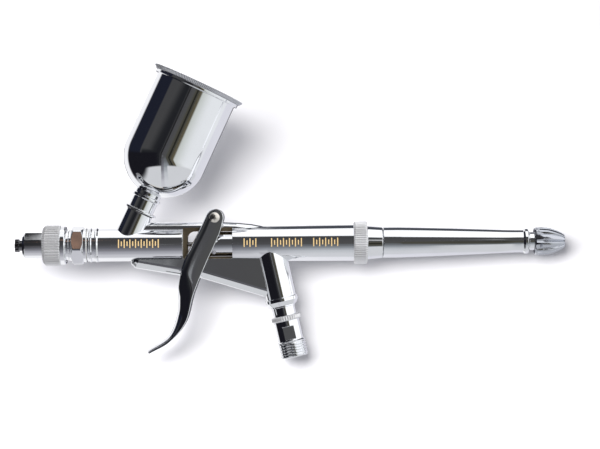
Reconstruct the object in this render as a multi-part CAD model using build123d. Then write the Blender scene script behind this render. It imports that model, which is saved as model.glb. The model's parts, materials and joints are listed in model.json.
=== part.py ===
from build123d import *
import os
from math import cos, pi, radians, sin, sqrt, tan

# Trigger-type gravity-feed airbrush, in millimetres.
# X runs along the needle axis, with the nozzle towards -X. +Z points to the cup side, and XZ is the mirror plane.
# The origin is on the needle axis, at the front of the nose's cylindrical wall.

# ---- fits -------------------------------------------------------------------------------------------------------
FIT = 0.02  # radial gap of a seated or screwed joint
RUN = 0.05  # radial gap of a sliding or turning joint

# ---- spray head -------------------------------------------------------------------------------------------------
NOSE_R = 4.4
NOSE_LENGTH = 6.0
NOSE_CHAMFER = 0.8
NOSE_GROOVE_R = 3.9
CAP_FLANGE_R = 5.6
NEEDLE_CAP_TIP_X = -3.5
NEEDLE_CAP_R = 2.3
NEEDLE_CAP_NECK_R = 1.8
NEEDLE_CAP_SPIGOT_R = 2.2
RING_FRONT_X = 6.2
RING_KNURL_END_X = 12.4
RING_END_X = 14.2
RING_R = 7.0
RING_TEETH = 44
HEX_START_X = 16.3
HEX_END_X = 20.25
HEX_ACROSS_FLATS = 12.0
HEX_TURN = 13.5  # degrees that the hexagon is turned from having a corner on +Y
HEAD_END_X = 21.3
HEAD_THREAD_R = 4.2
HEAD_THREAD_END_X = 27.0
NOZZLE_SHANK_R = 1.7
NEEDLE_CHANNEL_R = 0.95

# ---- needle -----------------------------------------------------------------------------------------------------
NEEDLE_R = 0.75
NEEDLE_TIP_X = -1.6
NEEDLE_TAPER_END_X = 8.0
NEEDLE_END_X = 148.0

# ---- barrel -----------------------------------------------------------------------------------------------------
BODY_START_X = 21.6
BODY_END_X = 113.2
FRONT_R = 5.7
REAR_R = 5.95
REAR_END_R = 6.25
BORE_R = 4.25
WINDOW_START_X = 54.4
WINDOW_END_X = 71.5
SLOT_START_X = 56.0
SLOT_HALF_HEIGHT = 4.35
SLAB_HALF_WIDTH = 2.6
RIB_TOP_Z = 7.65
RIB_END_X = 82.7
WEB_HALF_WIDTH = 3.4
PACKING_R = 2.2
PACKING_START_X = 46.0
PACKING_END_X = 48.5
PAINT_PASSAGE_R = 2.0

# ---- trigger ----------------------------------------------------------------------------------------------------
PIVOT_X = 65.55
PIVOT_Z = 9.15
PIVOT_R = 1.2
ARM_INNER_Y = 4.4
ARM_OUTER_Y = 5.9
ARM_END_R = 3.07
LUG_HALF_WIDTH = 4.3
ROLLER_X = 61.8
ROLLER_Z = -2.6
ROLLER_R = 1.1
ROLLER_PIN_R = 0.6
FINGER_PLATE_TOP_Z = -14.5
FINGER_PLATE_THICKNESS = 1.5

# ---- chuck tube, the sleeve that the trigger pushes back --------------------------------------------------------
SLEEVE_R = 4.2
SLEEVE_START_X = ROLLER_X + ROLLER_R + RUN
SLEEVE_END_X = 124.0
COLLET_R = 1.9
RAMP_START_X = 81.2
RAMP_END_X = 85.3
WAIST_R = 2.7
TUBE_R = 2.4
SPRING_SEAT_X = 96.0
SPRING_CASE_START_X = 100.6
SPRING_WALL_X = 112.0
SPRING_CASE_END_X = 119.5

# ---- tail -------------------------------------------------------------------------------------------------------
COLLAR_KNURL_END_X = 117.9
COLLAR_END_X = 123.1
COLLAR_R = 7.3
COLLAR_TEETH = 55
COLLAR_BORE_R = 3.6
HANDLE_START_X = 123.3
HANDLE_BEAD_X = 171.6
HANDLE_END_X = 173.4
HANDLE_BORE_R = 3.1
HANDLE_BORE_END_X = 157.0
SPINDLE_R = 1.55
SPINDLE_FRONT_X = 152.6
GLAND_R = 3.1
GLAND_END_X = 175.4
GLAND_BORE_R = 2.6
KNOB_START_X = 175.5
KNOB_END_X = 186.0
KNOB_FLUTES = 10

# ---- air valve, along its own axis ------------------------------------------------------------------------------
VALVE_X = 83.95
VALVE_TILT = 12.5  # degrees, foot towards the tail
CASING_R = 5.3
CASING_END = 21.9
CASING_RING_R = 5.7
VALVE_SEAT = 11.2
VALVE_CHAMBER_R = 3.6
VALVE_STEM_R = 0.95
VALVE_HEAD_R = 2.4
NUT_START = 17.5
NECK_R = 3.95
NECK_END = 25.5
NUT_SPIGOT_R = 3.5
WASHER_R = 5.1
WASHER_END = 27.2
WASHER_TEETH = 36
ADAPTER_R = 4.4
ADAPTER_THREAD_START = 34.6
ADAPTER_THREAD_END = 39.6
ADAPTER_END = 40.0
THREAD_R = 4.864  # G1/8 crest

# ---- paint cup, along its own axis ------------------------------------------------------------------------------
CUP_X = 34.2
CUP_TILT = 25.3  # degrees, mouth towards the tail
SOCKET_R = 4.75
SOCKET_END = 12.2
SPIGOT_R = 3.35
SPIGOT_START = 8.2
FLANGE_START = 12.6
FLANGE_END = 13.3
FLANGE_R = 5.65
CUP_STEM_R = 4.5
CUP_R = 14.4
CUP_WALL = 0.75
CUP_DOME_CENTRE = 33.7
CUP_RIM_START = 58.9
CUP_RIM_END = 59.9
CUP_RIM_R = 15.3
DRAIN_R = 1.6
LID_R = 16.5
LID_FOOT_R = 15.5
LID_END = 61.3
LID_TEETH = 158

valve_frame = Plane(
    origin=(VALVE_X, 0, 0),
    x_dir=(cos(radians(VALVE_TILT)), 0, sin(radians(VALVE_TILT))),
    z_dir=(sin(radians(VALVE_TILT)), 0, -cos(radians(VALVE_TILT))),
)
cup_frame = Plane(
    origin=(CUP_X, 0, 0),
    x_dir=(cos(radians(CUP_TILT)), 0, -sin(radians(CUP_TILT))),
    z_dir=(sin(radians(CUP_TILT)), 0, cos(radians(CUP_TILT))),
)
needle_frame = Plane(origin=(0, 0, 0), x_dir=(0, 1, 0), z_dir=(1, 0, 0))


# ---- shared shapes ----------------------------------------------------------------------------------------------
def turned(frame, *outline):
    """Solid of revolution about a frame's own axis, from (distance along the axis, radius) points."""
    edge = Polyline(*[(radius, 0, along) for along, radius in outline], close=True)
    return frame * revolve(make_face(edge), Axis.Z)


def rod(frame, radius, start, end):
    """Round bar about a frame's own axis."""
    return turned(frame, (start, 0), (start, radius), (end, radius), (end, 0))


def toothed_bar(frame, crest, depth, teeth, start, end):
    """Bar whose section is a ring of straight V teeth."""
    points = []
    for index in range(2 * teeth):
        radius = crest if index % 2 == 0 else crest - depth
        angle = pi * index / teeth
        points.append((radius * cos(angle), radius * sin(angle), start))
    return frame * extrude(make_face(Polyline(*points, close=True)), end - start, dir=(0, 0, 1))


def cross_bar(x, z, radius, low_y, high_y):
    """Round bar parallel to Y."""
    return Pos(x, (low_y + high_y) / 2, z) * Rot(90, 0, 0) * Cylinder(radius, high_y - low_y)


def block(low, high):
    """Box between two corners."""
    size = [b - a for a, b in zip(low, high)]
    centre = [(a + b) / 2 for a, b in zip(low, high)]
    return Pos(*centre) * Box(*size)


def plate(outline, half_width):
    """Flat plate in the XZ plane, centred on the mirror plane."""
    return extrude(make_face(outline), half_width, dir=(0, 1, 0), both=True)


def coil(frame, start, length, mean_radius, wire_radius, turns):
    """Open helical spring."""
    path = Helix(pitch=length / turns, height=length, radius=mean_radius)
    section = Plane(origin=path @ 0, z_dir=path % 0) * Circle(wire_radius)
    return frame * Pos(0, 0, start) * sweep(section, path=path, is_frenet=True)


# ---- spray head -------------------------------------------------------------------------------------------------
def needle_cap():
    spigot_end = 1.0
    return turned(
        needle_frame,
        (NEEDLE_CAP_TIP_X, 1.0),
        (NEEDLE_CAP_TIP_X, NEEDLE_CAP_R - 0.15),
        (NEEDLE_CAP_TIP_X + 0.15, NEEDLE_CAP_R),
        (-2.1, NEEDLE_CAP_R),
        (-2.1, NEEDLE_CAP_NECK_R),
        (-NOSE_CHAMFER, NEEDLE_CAP_NECK_R),
        (-NOSE_CHAMFER, NEEDLE_CAP_SPIGOT_R),
        (spigot_end, NEEDLE_CAP_SPIGOT_R),
        (spigot_end, 1.0),
    )


def air_cap():
    """Nose cone around the nozzle, with its flange held by the ring."""
    return turned(
        needle_frame,
        (-NOSE_CHAMFER, NEEDLE_CAP_SPIGOT_R + FIT),
        (-NOSE_CHAMFER, NOSE_R - 0.6),
        (0, NOSE_R),
        (NOSE_LENGTH, NOSE_R),
        (NOSE_LENGTH, NOSE_GROOVE_R),
        (7.2, NOSE_GROOVE_R),
        (7.2, CAP_FLANGE_R),
        (8.6, CAP_FLANGE_R),
        (8.6, 3.2),
        (3.0, 3.2),
        (1.0, 2.6),
        (1.0, NEEDLE_CAP_SPIGOT_R + FIT),
    )


def head_ring():
    knurl_depth = 0.32
    blank = turned(
        needle_frame,
        (RING_FRONT_X, NOSE_GROOVE_R + RUN),
        (RING_FRONT_X, 6.0),
        (RING_FRONT_X + 0.9, RING_R),
        (RING_KNURL_END_X - 0.3, RING_R),
        (RING_KNURL_END_X, RING_R - 0.35),
        (RING_END_X - 0.3, RING_R - 0.35),
        (RING_END_X, 6.6),
        (RING_END_X, CAP_FLANGE_R + 0.1),
        (7.2, CAP_FLANGE_R + 0.1),
        (7.2, NOSE_GROOVE_R + RUN),
    )
    teeth = toothed_bar(needle_frame, RING_R, knurl_depth, RING_TEETH, RING_FRONT_X, RING_KNURL_END_X)
    plain = rod(needle_frame, RING_R, RING_KNURL_END_X, RING_END_X)
    return blank & (teeth + plain)


def fluid_nozzle():
    """Tapered nozzle, with its needle seat at the tip and a screwed shank at the back."""
    return turned(
        needle_frame,
        (-0.4, 0.2),
        (-0.4, 0.5),
        (4.5, 1.6),
        (7.6, 1.6),
        (7.6, 2.6),
        (9.4, 2.6),
        (9.4, NOZZLE_SHANK_R),
        (12.5, NOZZLE_SHANK_R),
        (12.5, NEEDLE_CHANNEL_R),
        (8.4, NEEDLE_CHANNEL_R),
    )


def nozzle_seal():
    return turned(needle_frame, (9.4, 1.75), (9.4, 2.6), (9.9, 2.6), (9.9, 1.75))


def head_base():
    """Hexagonal head body: nozzle thread and air ports in front, body thread behind."""
    hexagon = needle_frame * extrude(
        Pos(0, 0, HEX_START_X) * Rot(0, 0, HEX_TURN) * RegularPolygon(HEX_ACROSS_FLATS / 2, 6, major_radius=False),
        HEX_END_X - HEX_START_X,
        dir=(0, 0, 1),
    )
    corner_limit = turned(
        needle_frame,
        (HEX_START_X, 0),
        (HEX_START_X, 6.1),
        (HEX_START_X + 0.6, 6.8),
        (HEX_END_X - 0.6, 6.8),
        (HEX_END_X, 6.1),
        (HEX_END_X, 0),
    )
    core = turned(
        needle_frame,
        (9.9, NOZZLE_SHANK_R + FIT),
        (9.9, CAP_FLANGE_R),
        (RING_END_X, CAP_FLANGE_R),
        (RING_END_X, 5.1),
        (HEX_START_X, 5.1),
        (HEX_END_X, 5.9),
        (HEAD_END_X, 5.9),
        (HEAD_END_X, HEAD_THREAD_R),
        (HEAD_THREAD_END_X, HEAD_THREAD_R),
        (HEAD_THREAD_END_X, NEEDLE_CHANNEL_R),
        (12.8, NEEDLE_CHANNEL_R),
        (12.5, NOZZLE_SHANK_R + FIT),
    )
    ports = Compound(
        [
            needle_frame * Rot(0, 0, 90 * quarter + 45) * Pos(3.2, 0, 0) * rod(Plane.XY, 0.55, 9.0, 27.5)
            for quarter in range(4)
        ]
    )
    hexagon -= rod(needle_frame, 4.0, HEX_START_X, HEX_END_X)
    return core + (hexagon & corner_limit) - ports


def head_seal():
    return turned(needle_frame, (HEAD_END_X, 4.3), (HEAD_END_X, 5.45), (BODY_START_X, 5.45), (BODY_START_X, 4.3))


# ---- body -------------------------------------------------------------------------------------------------------
def barrel_skin():
    """Outside of the barrel: two rolled ribs, the plain front stretch and the slightly flared rear one."""
    return turned(
        needle_frame,
        (BODY_START_X, 0),
        (BODY_START_X, 5.66),
        (22.2, 5.66),
        (22.5, 5.93),
        (22.9, 5.93),
        (23.2, 5.66),
        (24.2, 5.66),
        (24.5, 5.93),
        (24.9, 5.93),
        (25.4, FRONT_R),
        (WINDOW_START_X, FRONT_R),
        (WINDOW_END_X, REAR_R),
        (BODY_END_X, REAR_END_R),
        (BODY_END_X, 0),
    )


def top_rib():
    """Bridge along the top of the barrel, faded into it at the tail end."""
    outline = Polyline(
        (38.0, 0, 4.0),
        (38.0, 0, RIB_TOP_Z),
        (66.0, 0, RIB_TOP_Z),
        (73.0, 0, 7.3),
        (78.0, 0, 6.8),
        (RIB_END_X, 0, 5.9),
        (RIB_END_X, 0, 4.6),
        (73.0, 0, 4.6),
        close=True,
    )
    rib = plate(outline, SLAB_HALF_WIDTH)
    edges = rib.edges().filter_by(lambda edge: abs(edge.center().Y) > SLAB_HALF_WIDTH - 0.01 and edge.center().Z > 5.5)
    return fillet(edges.filter_by(lambda edge: abs(edge.tangent_at(0.5).Z) < 0.6), 2.2)


def lower_web():
    """Fin under the barrel, from its rounded tip back to the valve casing."""
    outline = Polyline(
        (36.4, 0, -5.0),
        (36.4, 0, -6.6),
        (37.9, 0, -8.1),
        (52.75, 0, -10.7),
        (60.2, 0, -11.6),
        (81.8, 0, -18.2),
        (86.0, 0, -18.2),
        (86.0, 0, -5.0),
        close=True,
    )
    web = plate(outline, WEB_HALF_WIDTH)
    edges = web.edges().filter_by(lambda edge: abs(edge.center().Y) > WEB_HALF_WIDTH - 0.01)
    lower = edges.filter_by(lambda edge: edge.center().Z < -5.5 and edge.center().X < 80)
    return fillet(lower, 2.8)


def pivot_lug():
    boss = cross_bar(PIVOT_X, PIVOT_Z, 2.7, -LUG_HALF_WIDTH, LUG_HALF_WIDTH)
    foot = block((PIVOT_X - 2.7, -LUG_HALF_WIDTH, 5.7), (PIVOT_X + 2.7, LUG_HALF_WIDTH, PIVOT_Z))
    return boss + foot


def window():
    """Space milled out of the barrel's sides for the trigger arms, and the slot that the sleeve slides through."""
    low = -5.0
    high = 5.6
    left = block((WINDOW_START_X, SLAB_HALF_WIDTH, low), (WINDOW_END_X, 9, high))
    right = block((WINDOW_START_X, -9, low), (WINDOW_END_X, -SLAB_HALF_WIDTH, high))
    slot = block((SLOT_START_X, -9, -SLOT_HALF_HEIGHT), (WINDOW_END_X, 9, SLOT_HALF_HEIGHT))
    corners = slot.edges().filter_by(Axis.Y).group_by(Axis.X)[0]
    return left + right + fillet(corners, 2.4)


def socket_blank():
    return rod(cup_frame, SOCKET_R, 0, SOCKET_END) - rod(needle_frame, FRONT_R, 20, 60)


def casing_blank():
    """Casing outside, trimmed where it meets the barrel."""
    barrel = turned(
        needle_frame, (60, 0), (60, REAR_R), (WINDOW_END_X, REAR_R), (BODY_END_X, REAR_END_R), (BODY_END_X, 0)
    )
    blank = turned(
        valve_frame,
        (0, 0),
        (0, CASING_R),
        (19.1, CASING_R),
        (19.3, CASING_RING_R),
        (20.4, CASING_RING_R),
        (CASING_END, 4.6),
        (CASING_END, 0),
    )
    return blank - barrel


def main_body():
    body = barrel_skin() + lower_web() + top_rib() + pivot_lug()
    body -= window()
    body -= rod(needle_frame, HEAD_THREAD_R + FIT, 20, HEAD_THREAD_END_X)
    body -= rod(needle_frame, NEEDLE_CHANNEL_R, 26, 60)
    body -= rod(needle_frame, PACKING_R, PACKING_START_X, 57.0)
    body -= rod(needle_frame, BORE_R, WINDOW_END_X - 1, BODY_END_X + 1)
    body -= rod(cup_frame, PAINT_PASSAGE_R, 0, 9)
    body -= socket_blank()
    body -= casing_blank()
    body -= rod(valve_frame, VALVE_STEM_R + RUN, 2.0, 10)
    body -= cross_bar(PIVOT_X, PIVOT_Z, PIVOT_R + FIT, -9, 9)
    return body


def cup_socket():
    """Upright socket for the cup's spigot, joined to the barrel."""
    socket = socket_blank() - rod(cup_frame, SPIGOT_R + RUN, SPIGOT_START, 20)
    return socket - rod(cup_frame, PAINT_PASSAGE_R, 0, 20)


def valve_casing():
    """Air valve casing under the barrel: stem guide, valve seat and spring chamber."""
    casing = casing_blank() - rod(valve_frame, VALVE_STEM_R + RUN, 0, 20)
    return casing - rod(valve_frame, VALVE_CHAMBER_R, VALVE_SEAT, 30)


def needle_packing():
    outer = PACKING_R - FIT
    return turned(
        needle_frame, (PACKING_START_X, 0.8), (PACKING_START_X, outer), (PACKING_END_X, outer), (PACKING_END_X, 0.8)
    )


def packing_screw():
    outer = PACKING_R - FIT
    slot = block((52.9, -3, -0.3), (54, 3, 0.3))
    return turned(needle_frame, (PACKING_END_X, 0.9), (PACKING_END_X, outer), (53.9, outer), (53.9, 0.9)) - slot


# ---- trigger ----------------------------------------------------------------------------------------------------
def trigger_outline():
    """Side view of the trigger: a round pivot end, then a blade that sweeps forward to a thin tip."""
    front = Spline(
        (62.6, 0, 9.9),
        (60.2, 0, 4.9),
        (54.7, 0, -6.2),
        (52.7, 0, -15.8),
        (52.2, 0, -23.5),
        (49.3, 0, -31.2),
        (42.2, 0, -36.2),
    )
    tip = ThreePointArc((42.2, 0, -36.2), (42.0, 0, -37.0), (43.0, 0, -37.3))
    back = Spline(
        (43.0, 0, -37.3),
        (49.8, 0, -33.4),
        (55.4, 0, -26.5),
        (58.2, 0, -16.8),
        (62.5, 0, -6.5),
        (67.0, 0, 3.2),
        (68.5, 0, 8.3),
    )
    crown = ThreePointArc((68.5, 0, 8.3), (PIVOT_X + 0.5, 0, PIVOT_Z + ARM_END_R), (62.6, 0, 9.9))
    return Wire([front.edge(), tip.edge(), back.edge(), crown.edge()])


def trigger():
    outline = trigger_outline()
    solid = extrude(Face(outline), ARM_OUTER_Y, dir=(0, 1, 0), both=True)
    outer = solid.edges().filter_by(lambda edge: abs(edge.center().Y) > ARM_OUTER_Y - 0.01)
    solid = fillet(outer, 0.3)
    above = block((30, -ARM_INNER_Y, FINGER_PLATE_TOP_Z), (80, ARM_INNER_Y, 20))
    channel = Pos(FINGER_PLATE_THICKNESS, 0, 0) * extrude(Face(outline), ARM_INNER_Y, dir=(0, 1, 0), both=True)
    channel &= block((50.0, -9, -40), (80, 9, FINGER_PLATE_TOP_Z + 1))
    solid -= above + channel
    solid -= cross_bar(PIVOT_X, PIVOT_Z, PIVOT_R + RUN, -9, 9)
    return solid - cross_bar(ROLLER_X, ROLLER_Z, ROLLER_PIN_R + FIT, -9, 9)


def trigger_pivot():
    """Pivot screw with a domed head on the -Y side."""
    head_y = -ARM_OUTER_Y - RUN
    shank = cross_bar(PIVOT_X, PIVOT_Z, PIVOT_R, head_y - 0.3, 7.2)
    dome = Pos(PIVOT_X, head_y + 1.55, PIVOT_Z) * Sphere(2.4)
    dome &= cross_bar(PIVOT_X, PIVOT_Z, 3, head_y - 3, head_y)
    slot = block((PIVOT_X - 3, head_y - 0.9, PIVOT_Z - 0.2), (PIVOT_X + 3, head_y - 0.5, PIVOT_Z + 0.2))
    return shank + dome - slot


def pivot_nut():
    start_y = ARM_OUTER_Y + RUN
    outline = Pos(PIVOT_X, start_y, PIVOT_Z) * Rot(-90, 0, 0) * RegularPolygon(2.0, 6, major_radius=False)
    nut = extrude(outline, 1.2, dir=(0, 1, 0))
    return nut - cross_bar(PIVOT_X, PIVOT_Z, PIVOT_R + FIT, 0, 9)


def push_roller():
    """Roller between the arms that pushes the sleeve back."""
    length = ARM_INNER_Y - RUN
    roller = cross_bar(ROLLER_X, ROLLER_Z, ROLLER_R, -length, length)
    return roller - cross_bar(ROLLER_X, ROLLER_Z, ROLLER_PIN_R + FIT, -9, 9)


def roller_pin():
    return cross_bar(ROLLER_X, ROLLER_Z, ROLLER_PIN_R, -ARM_OUTER_Y, ARM_OUTER_Y)


# ---- needle and chuck -------------------------------------------------------------------------------------------
def needle():
    return turned(
        needle_frame,
        (NEEDLE_TIP_X, 0),
        (NEEDLE_TIP_X, 0.04),
        (NEEDLE_TAPER_END_X, NEEDLE_R),
        (NEEDLE_END_X - 0.3, NEEDLE_R),
        (NEEDLE_END_X, NEEDLE_R - 0.3),
        (NEEDLE_END_X, 0),
    )


def chuck_tube():
    """Sleeve that carries the needle: ramp for the valve stem, spring seat, and a split collet at the back."""
    needle_hole = NEEDLE_R + FIT
    tube = turned(
        needle_frame,
        (SLEEVE_START_X, needle_hole),
        (SLEEVE_START_X, SLEEVE_R - 0.3),
        (SLEEVE_START_X + 0.3, SLEEVE_R),
        (RAMP_START_X, SLEEVE_R),
        (RAMP_END_X, WAIST_R),
        (88.5, WAIST_R),
        (90.0, SLEEVE_R),
        (SPRING_SEAT_X, SLEEVE_R),
        (SPRING_SEAT_X, TUBE_R),
        (122.5, TUBE_R),
        (SLEEVE_END_X, COLLET_R),
        (SLEEVE_END_X, needle_hole),
    )
    tube -= cross_bar(65.1, -2.8, 0.7, -9, 9)
    return tube - block((121.6, -3, -0.2), (SLEEVE_END_X + 1, 3, 0.2))


def chuck_nut():
    """Knurled nut that closes the collet on the needle."""
    blank = turned(
        needle_frame,
        (121.0, TUBE_R + FIT),
        (121.0, 2.9),
        (126.7, 2.9),
        (127.0, 2.6),
        (127.0, NEEDLE_R + 0.1),
        (124.1, NEEDLE_R + 0.1),
        (124.1, COLLET_R + FIT),
        (122.5, TUBE_R + FIT),
    )
    return blank & toothed_bar(needle_frame, 2.9, 0.2, 24, 121.0, 127.0)


def needle_spring():
    wire = 0.3
    length = SPRING_WALL_X - SPRING_SEAT_X - 2 * wire - 0.2
    return coil(needle_frame, SPRING_SEAT_X + wire + 0.1, length, 3.1, wire, 9)


def spring_case():
    """Tube screwed into the back of the barrel, which the needle spring pushes against."""
    return turned(
        needle_frame,
        (SPRING_CASE_START_X, 3.75),
        (SPRING_CASE_START_X, BORE_R - FIT),
        (SPRING_CASE_END_X, BORE_R - FIT),
        (SPRING_CASE_END_X, TUBE_R + RUN),
        (SPRING_WALL_X, TUBE_R + RUN),
        (SPRING_WALL_X, 3.75),
    )


# ---- tail -------------------------------------------------------------------------------------------------------
def tail_collar():
    knurl_depth = 0.22
    blank = turned(
        needle_frame,
        (BODY_END_X, BORE_R),
        (BODY_END_X, COLLAR_R - 0.4),
        (BODY_END_X + 0.4, COLLAR_R),
        (COLLAR_KNURL_END_X - 0.4, COLLAR_R),
        (COLLAR_KNURL_END_X, COLLAR_R - 0.4),
        (COLLAR_KNURL_END_X, 5.75),
        (COLLAR_END_X, 5.3),
        (COLLAR_END_X, COLLAR_BORE_R),
        (SPRING_CASE_END_X, COLLAR_BORE_R),
        (SPRING_CASE_END_X, BORE_R),
    )
    teeth = toothed_bar(needle_frame, COLLAR_R, knurl_depth, COLLAR_TEETH, BODY_END_X, COLLAR_KNURL_END_X)
    return blank & (teeth + rod(needle_frame, 6, COLLAR_KNURL_END_X, COLLAR_END_X))


def handle():
    """Hollow tail handle: slim waist, slight flare at the end, and a spigot in the collar."""
    spigot_r = COLLAR_BORE_R - FIT
    outside = Spline((129.0, 0, 5.25), (143.0, 0, 4.83), (157.0, 0, 4.31), (166.0, 0, 3.94), (HANDLE_BEAD_X, 0, 3.85))
    outline = [
        Polyline((129.0, 0, 5.25), (HANDLE_START_X, 0, 5.25), (HANDLE_START_X, 0, spigot_r)),
        Polyline((HANDLE_START_X, 0, spigot_r), (119.7, 0, spigot_r), (119.7, 0, HANDLE_BORE_R)),
        Polyline((119.7, 0, HANDLE_BORE_R), (HANDLE_BORE_END_X, 0, HANDLE_BORE_R)),
        Polyline((HANDLE_BORE_END_X, 0, HANDLE_BORE_R), (HANDLE_BORE_END_X, 0, SPINDLE_R + RUN)),
        Polyline((HANDLE_BORE_END_X, 0, SPINDLE_R + RUN), (169.3, 0, SPINDLE_R + RUN), (169.3, 0, GLAND_BORE_R)),
        Polyline((169.3, 0, GLAND_BORE_R), (HANDLE_END_X, 0, GLAND_BORE_R), (HANDLE_END_X, 0, 4.0)),
        Polyline((HANDLE_END_X, 0, 4.0), (HANDLE_END_X - 0.3, 0, 4.3), (HANDLE_BEAD_X + 0.6, 0, 4.3)),
        Polyline((HANDLE_BEAD_X + 0.6, 0, 4.3), (HANDLE_BEAD_X, 0, 3.85)),
    ]
    edges = [outside.edge()]
    for run in outline:
        edges += run.edges()
    return revolve(make_face(edges), Axis.X)


def pin_gland():
    """Gland nut that holds the seal around the stop spindle."""
    return turned(
        needle_frame,
        (170.5, SPINDLE_R + RUN),
        (170.5, GLAND_BORE_R - FIT),
        (HANDLE_END_X, GLAND_BORE_R - FIT),
        (HANDLE_END_X, GLAND_R - 0.4),
        (HANDLE_END_X + 0.4, GLAND_R - 0.4),
        (HANDLE_END_X + 0.4, GLAND_R),
        (GLAND_END_X, GLAND_R),
        (GLAND_END_X, SPINDLE_R + RUN),
    )


def pin_o_ring():
    wire = 0.45
    return Pos(169.9, 0, 0) * Rot(0, 90, 0) * Torus(SPINDLE_R + RUN + wire, wire)


def stop_spindle():
    return turned(
        needle_frame,
        (SPINDLE_FRONT_X, 0),
        (SPINDLE_FRONT_X, SPINDLE_R - 0.3),
        (SPINDLE_FRONT_X + 0.3, SPINDLE_R),
        (182.9, SPINDLE_R),
        (182.9, 0),
    )


def stop_knob():
    """Bullet-shaped knob with tapering flutes."""
    nose = Spline((178.2, 0, 4.75), (181.0, 0, 4.4), (184.2, 0, 3.2), (KNOB_END_X, 0, 2.0))
    front = Polyline((178.2, 0, 4.75), (KNOB_START_X + 0.4, 0, 4.7), (KNOB_START_X, 0, 4.4), (KNOB_START_X, 0, 0))
    end = Polyline((KNOB_START_X, 0, 0), (KNOB_END_X, 0, 0), (KNOB_END_X, 0, 2.0))
    knob = revolve(make_face([nose.edge(), *front.edges(), *end.edges()]), Axis.X)
    cutter = Cone(0.55, 1.05, 13, align=(Align.CENTER, Align.CENTER, Align.MIN))
    flute = Pos(176.4, 0, 5.25) * Rot(0, 90 + 12, 0) * cutter
    for index in range(KNOB_FLUTES):
        knob -= Rot(360 * index / KNOB_FLUTES, 0, 0) * flute
    return knob - rod(needle_frame, SPINDLE_R + RUN, KNOB_START_X - 1, 183.0)


# ---- air valve --------------------------------------------------------------------------------------------------
def valve_stem_top():
    """Distance along the valve axis at which the domed stem just clears the sleeve's ramp."""
    slope = (SLEEVE_R - WAIST_R) / (RAMP_END_X - RAMP_START_X)
    tilt = radians(VALVE_TILT)
    gap = (VALVE_STEM_R + RUN) * sqrt(1 + slope * slope)
    # The ramp's underside is at -Z = WAIST_R + slope * (RAMP_END_X - x).
    return (gap + WAIST_R + slope * (RAMP_END_X - VALVE_X)) / (cos(tilt) + slope * sin(tilt))


def valve_pin():
    """Valve stem with a domed top and a disc head below its seat."""
    centre = valve_stem_top()
    stem = rod(valve_frame, VALVE_STEM_R, centre, 12.6)
    dome = valve_frame * Pos(0, 0, centre) * Sphere(VALVE_STEM_R)
    head = rod(valve_frame, VALVE_HEAD_R, 12.2, 13.2)
    return stem + dome + head


def valve_o_ring():
    return turned(
        valve_frame, (11.3, VALVE_STEM_R + FIT), (11.3, 2.2), (12.2, 2.2), (12.2, VALVE_STEM_R + FIT)
    )


def valve_spring():
    wire = 0.25
    length = NUT_START - 13.2 - 2 * wire - 0.2
    return coil(valve_frame, 13.2 + wire + 0.1, length, 2.0, wire, 4)


def valve_nut():
    """Nut that closes the valve chamber and carries the hose adapter."""
    spigot_end = 30.0
    return turned(
        valve_frame,
        (NUT_START, 1.5),
        (NUT_START, VALVE_CHAMBER_R - FIT),
        (CASING_END, VALVE_CHAMBER_R - FIT),
        (CASING_END, 4.2),
        (CASING_END + 0.5, 4.2),
        (CASING_END + 0.5, NECK_R),
        (NECK_END, NECK_R),
        (NECK_END, NUT_SPIGOT_R),
        (spigot_end, NUT_SPIGOT_R),
        (spigot_end, 1.5),
    )


def adapter_washer():
    bore = NUT_SPIGOT_R + FIT
    blank = turned(
        valve_frame,
        (NECK_END, bore),
        (NECK_END, WASHER_R - 0.3),
        (NECK_END + 0.3, WASHER_R),
        (WASHER_END - 0.3, WASHER_R),
        (WASHER_END, WASHER_R - 0.3),
        (WASHER_END, bore),
    )
    return blank & toothed_bar(valve_frame, WASHER_R, 0.2, WASHER_TEETH, NECK_END, WASHER_END)


def hose_adapter():
    """Hose connector: spanner flats above, and a G1/8 male thread below, left as a cylinder at its crest."""
    bore = NUT_SPIGOT_R + FIT
    adapter = turned(
        valve_frame,
        (WASHER_END, bore),
        (WASHER_END, ADAPTER_R),
        (ADAPTER_THREAD_START - 0.4, ADAPTER_R),
        (ADAPTER_THREAD_START, THREAD_R),
        (ADAPTER_THREAD_END, THREAD_R),
        (ADAPTER_END, THREAD_R - 0.4),
        (ADAPTER_END, 2.6),
        (30.2, 2.6),
        (30.2, bore),
    )
    for side in (1, -1):
        low_y, high_y = sorted((side * 3.9, side * 9))
        adapter -= valve_frame * block((-9, low_y, 29.2), (9, high_y, 33.8))
    return adapter


# ---- paint cup --------------------------------------------------------------------------------------------------
def cup():
    """Open cup with a round bottom, a rim flange and a drained stem."""
    inner_r = CUP_R - CUP_WALL
    dome = Pos(0, 0, CUP_DOME_CENTRE) * Sphere(CUP_R)
    shell = dome + rod(Plane.XY, CUP_R, CUP_DOME_CENTRE, CUP_RIM_END)
    shell -= rod(Plane.XY, CUP_R + 1, CUP_RIM_END, 60)
    shell += rod(Plane.XY, CUP_RIM_R, CUP_RIM_START, CUP_RIM_END)
    stem = turned(
        Plane.XY,
        (SPIGOT_START, 0),
        (SPIGOT_START, SPIGOT_R),
        (FLANGE_START, SPIGOT_R),
        (FLANGE_START, FLANGE_R),
        (FLANGE_END, FLANGE_R),
        (FLANGE_END, CUP_STEM_R),
        (17.3, CUP_STEM_R),
        (17.5, 4.95),
        (18.4, 4.95),
        (18.6, CUP_STEM_R),
        (20.5, CUP_STEM_R),
        (20.5, 0),
    )
    shell += stem
    shell -= Pos(0, 0, CUP_DOME_CENTRE) * Sphere(inner_r)
    shell -= rod(Plane.XY, inner_r, CUP_DOME_CENTRE, 70)
    shell -= rod(Plane.XY, DRAIN_R, 0, 25)
    return cup_frame * shell


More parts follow.
